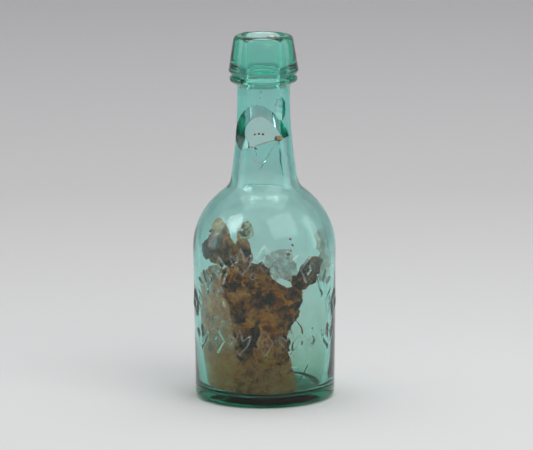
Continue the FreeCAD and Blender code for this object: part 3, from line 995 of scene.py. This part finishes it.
STAIN = mottled("thin_stain", STAIN_STOPS, 4.0, 0.2, 0.3, (0.05, 0.55, 0.0))
RUST = mottled("rust", [(0.36, (0.30, 0.05, 0.006)), (0.48, (0.95, 0.19, 0.018)),
                        (0.60, (1.0, 0.36, 0.05))], 2.6, 0.6)
EARTH = mottled("dry_earth", [(0.35, (0.22, 0.15, 0.09)), (0.6, (0.50, 0.38, 0.24))], 1.2, 0.3)
FIBRE_BARK = mottled("fibre_bark", [(0.35, (0.20, 0.07, 0.04)), (0.6, (0.42, 0.19, 0.11))],
                     2.0, 0.1)
GLASS = aqua_glass("aqua_glass", (102, 9, 19), 92.0)
LIP_GLASS = aqua_glass("lip_glass", (95, 22, 34), 0.0)


def open_seam(piece, facing):
    """Marks the fused faces of body and lip, which light passes straight through."""
    seam = piece.data.attributes.new("seam", "FLOAT", "FACE")
    for face in piece.data.polygons:
        radius = math.hypot(*face.center[:2])
        level = abs(face.center[2] - NECK_TOP[1] * MM) < 2 * LIP_SEAM * MM
        fused = level and face.normal[2] * facing > 0.9 and radius > BORE_HIGH[0] * MM
        seam.data[face.index].value = 1.0 if fused else 0.0


def place(piece, material, slot, *nodes):
    """Brings a piece to metres, gives it its looks and hides the CAD nodes that it stands for."""
    piece.data.transform(Matrix.Scale(MM, 4))
    piece.data.materials.clear()
    piece.data.materials.append(material)
    for face in piece.data.polygons:
        face.material_index = 0
    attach(piece, "root")
    if nodes:
        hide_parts(*nodes)


def place_glass():
    body, lip = make_body(), make_lip()
    place(body, GLASS, "aqua_glass", "bottle_body")
    place(lip, LIP_GLASS, "aqua_glass", "applied_lip")
    open_seam(body, 1)
    open_seam(lip, -1)


place_glass()


def make_trunk(rust):
    """The crust stands off the glass where rust lies between them."""
    lift = GAP + 0.35 * smooth(noise(FRONT_POINTS, 4.0) + 0.4) + 0.45 * smooth(rust + 0.5)
    thickness = 2.0 + 1.2 * noise(FRONT_POINTS, 4.0)
    return layer("caked_soil", FRONT_WALL, trunk_cover(), lift, thickness)


def wall_lump(name, poles, ragged, grown, lifted, shift=0.0):
    """A ragged lump inside this outline, which lifts off the glass in places."""
    cover = spread(poles, ragged, 4.0, grown, shift)
    lift = GAP + lifted * smooth(noise(FRONT_POINTS, 3.0) + 0.4)
    return layer(name, FRONT_WALL, cover, lift, 1.8 + noise(FRONT_POINTS, 4.0))


def on_break(x, y):
    """The point of the break's floor above this x and y."""
    (px, py, pz), (a, b, c) = BREAK_FLOOR
    return np.array([x, y, pz - (a * (x - px) + b * (y - py)) / c])


def make_tide_lines():
    """Thin dark outlines that dried beside the caked soil."""
    grid = (np.arange(8, 44, 0.22), np.arange(46.0, 80.0, 0.15))
    points = wall_points(*np.meshgrid(*grid), GAP)
    nearest = np.min([off_segments(points[..., 0], points[..., 2], track, track[1:])
                      for track in TIDE_LINES], axis=0)
    wander = 0.2 * noise(points, 3.0, 2)
    cover = 0.24 - np.abs(nearest + wander) + 0.2 * noise(points, 1.2, 2)
    return layer("tide_lines", grid, cover, GAP, 0.05)


def make_break_rust():
    """A line of rust along the front edge of the break's floor, and one below it."""
    edge = [on_break(x, -math.sqrt(14.0**2 - x**2)) for x in np.linspace(-7.5, 3.5, 14)]
    below = [on_outside(x, z, 0.05) for x, z in LOW_RUST]
    return join(thread("break_rust", np.array(edge), 0.14), thread("line", np.array(below), 0.13))


def make_surface_grains():
    """Specks of earth on the lip, by the chip and at the notch in the rim."""
    rng = np.random.default_rng(8)
    made = [clod("speck", on_outside(x, z, 0.05), rng.uniform(0.22, 0.45, 3), x, free=True)
            for x, z in GRAINS]
    for turn in np.radians(np.linspace(12, 30, 7)):
        radius = rng.uniform(11.6, 13.0)
        spot = (radius * math.sin(turn), -radius * math.cos(turn), LIP_TOP_Z - 0.2)
        made.append(clod("speck", spot, rng.uniform(0.4, 0.75, 3), turn, free=True))
    grains = join(*made)
    grains.name = "surface_grains"
    return grains


def wall_layer(name, cover, thickness):
    return layer(name, FRONT_WALL, cover, GAP, thickness)


def place_deposits():
    rust = rust_cover()
    place(make_trunk(rust), SOIL, "soil", "soil_crust")
    place(wall_layer("rust_streak_layer", rust, 0.2), RUST, "rust", "rust_streak")
    place(wall_layer("silt_film_layer", film_cover(), 0.45), FILM, "silt", "silt_film")
    branch = wall_lump("right_crust_layer", RIGHT_BRANCH, 1.5, 1.5, 0.4, 5.0)
    place(branch, DARK_SOIL, "soil", "right_crust")
    torso = wall_lump("left_clod_body", LEFT_TORSO, 1.6, 1.3, 0.5)
    place(torso, DARK_SOIL, "soil", "left_clod")
    place(clod("left_clod_head", *LEFT_HEAD, 2.0), TAN_SOIL, "soil", "left_clod")
    stalk = wall_lump("middle_clod_body", MID_STALK, 1.3, 1.5, 0.5, 9.0)
    place(stalk, SOIL, "soil", "middle_clod")
    place(clod("middle_clod_pebble", *MID_HEAD, 5.0), PEBBLE, "soil", "middle_clod")
    for node, poles in (("upper_stain", UPPER_FILM), ("right_stain", RIGHT_STAIN)):
        place(wall_layer(f"{node}_layer", spread(poles, 1.8, 5.0, 1.8), 0.2), STAIN, "silt", node)
    place(make_floor_silt(), SILT, "silt", "floor_silt")
    place(make_specks(), RUST, "rust", "rust_specks")
    place(make_fibre(), FIBRE_BARK, "fibre", "root_fibre")
    place(make_tide_lines(), SOIL, "soil")
    crumb = clod("break_soil", on_break(7.4, -10.6) + (0, 0, 0.2), (1.9, 1.0, 1.3), 9.0, free=True)
    place(crumb, EARTH, "soil")
    place(make_break_rust(), RUST, "rust")
    place(make_surface_grains(), EARTH, "soil")


place_deposits()


# ---- Stage ----
FLOOR_R = 2600.0
WALL_SWEEP = 1400.0
WALL_TOP = 3000.0
FLOOR_STEPS = 96
# The paper's tone, from in front of the bottle (0) to the wall behind it (1). It is painted light
# and shade: dark in front, brightest around the bottle, dimmer behind it and lighter again up the
# wall.
PAINTED_LIGHT_TONES = [(0.0, (0.42, 0.42, 0.42)), (0.21, (0.81, 0.81, 0.80)), (0.27, (0.80, 0.80, 0.79)),
         (0.40, (0.66, 0.655, 0.65)), (0.65, (0.60, 0.59, 0.595)), (1.0, (0.75, 0.74, 0.74))]
PAINTED_LIGHT_FROM, PAINTED_LIGHT_TO = -1.0, 3.0  # metres along Y
MIDDLE = (0, 0, 0.09)
# Panels: name, place, target and size in metres, radiance, roll, and whether they light the paper.
# Those that don't only show as highlights in the glass.
PANELS = [("overhead", (0.0, 0.35, 2.2), (0, 0.1, 0.1), (2.2, 1.6), 1.5, 0, True),
          ("shoulder_sheen", (0.0, 0.5, 2.0), (0, 0.0, 0.11), (1.2, 0.8), 4.0, 0, False),
          ("window", (-1.40, -0.65, 1.35), MIDDLE, (0.8, 0.9), 8.0, 35, False),
          ("right_softbox", (0.95, -1.15, 1.45), MIDDLE, (1.6, 1.3), 2.2, 0, True),
          ("strip", (-1.5, 0.1, 0.55), MIDDLE, (0.5, 1.1), 2.0, 0, False),
          ("strip", (1.5, 0.1, 0.55), MIDDLE, (0.5, 1.1), 2.0, 0, False)]
WORLD_COLOUR, WORLD_STRENGTH = (0.95, 0.96, 1.0, 1), 0.55
# The camera stands well back, a little above the bottle, and looks down on it.
LENS = 292.64
CAMERA_PLACE = (0.0011, -2.11447, 0.46877)
CAMERA_DOWN = 10.266  # degrees below the horizontal
CAMERA_TURN = -0.32


def make_stage():
    """A round pale floor that sweeps up into a wall."""
    radii = np.concatenate([[0.0], np.geomspace(200.0, FLOOR_R, 14)])
    turns = np.radians(np.arange(6, 91, 6))
    profile = [(r, 0.0) for r in radii]
    profile += [(FLOOR_R + WALL_SWEEP * math.sin(turn), WALL_SWEEP * (1 - math.cos(turn)))
                for turn in turns]
    profile += [(FLOOR_R + WALL_SWEEP, WALL_TOP)]
    azimuths = np.linspace(0, 360, FLOOR_STEPS, endpoint=False)
    radius, height = np.array(profile[1:]).T[:, :, None] + 0 * azimuths
    points = cylinder_points(azimuths + 0 * radius, radius, height).reshape(-1, 3)
    index = np.arange(1, len(points) + 1).reshape(radius.shape)
    beside = np.roll(index, -1, axis=1)
    faces = [(0, a, b) for a, b in zip(index[0].tolist(), beside[0].tolist())]
    faces += np.stack([index[:-1], index[1:], beside[1:], beside[:-1]], -1).reshape(-1, 4).tolist()
    points = np.concatenate([[[0, 0, 0]], points])
    floor = mesh_object("floor", points, faces)
    floor.data.transform(Matrix.Scale(MM, 4))
    floor.data.shade_smooth()
    paper = Stuff("paper")
    # Painted light: the paper darkens and brightens along Y the way light falls on it, instead of
    # being evenly pale.
    tone = paper.ramp(PAINTED_LIGHT_TONES, paper.remap(paper.along("Y"), PAINTED_LIGHT_FROM, PAINTED_LIGHT_TO, 0, 1))
    paper.fill(paper.shader, Roughness=0.9, Specular_IOR_Level=0.1, Base_Color=tone)
    floor.data.materials.append(paper.made)


def area_light(name, place, target, size, radiance, roll, lights_paper):
    """A soft panel of this radiance, turned towards target."""
    data = bpy.data.lights.new(name, "AREA")
    data.shape = "RECTANGLE"
    data.size, data.size_y = size
    data.energy = radiance * math.pi * size[0] * size[1]
    lamp = in_scene(name, data)
    lamp.location = place
    aim = (Vector(target) - Vector(place)).to_track_quat("-Z", "Y")
    lamp.rotation_euler = aim.to_euler()
    lamp.rotation_euler.rotate_axis("Z", math.radians(roll))
    lamp.visible_diffuse = lights_paper


def make_light():
    world = bpy.data.worlds.new("studio")
    world.use_nodes = True
    world.node_tree.nodes["Background"].inputs["Color"].default_value = WORLD_COLOUR
    world.node_tree.nodes["Background"].inputs["Strength"].default_value = WORLD_STRENGTH
    bpy.context.scene.world = world
    for panel in PANELS:
        area_light(*panel)


def make_camera():
    data = bpy.data.cameras.new("camera")
    data.lens = LENS
    data.sensor_width = 36.0
    camera = in_scene("camera", data)
    camera.location = CAMERA_PLACE
    camera.rotation_euler = (math.radians(90 - CAMERA_DOWN), 0, 0)
    camera.rotation_euler.rotate_axis("Z", math.radians(CAMERA_TURN))
    bpy.context.scene.camera = camera


make_stage()
make_light()
make_camera()
bpy.context.scene.view_settings.view_transform = "Standard"
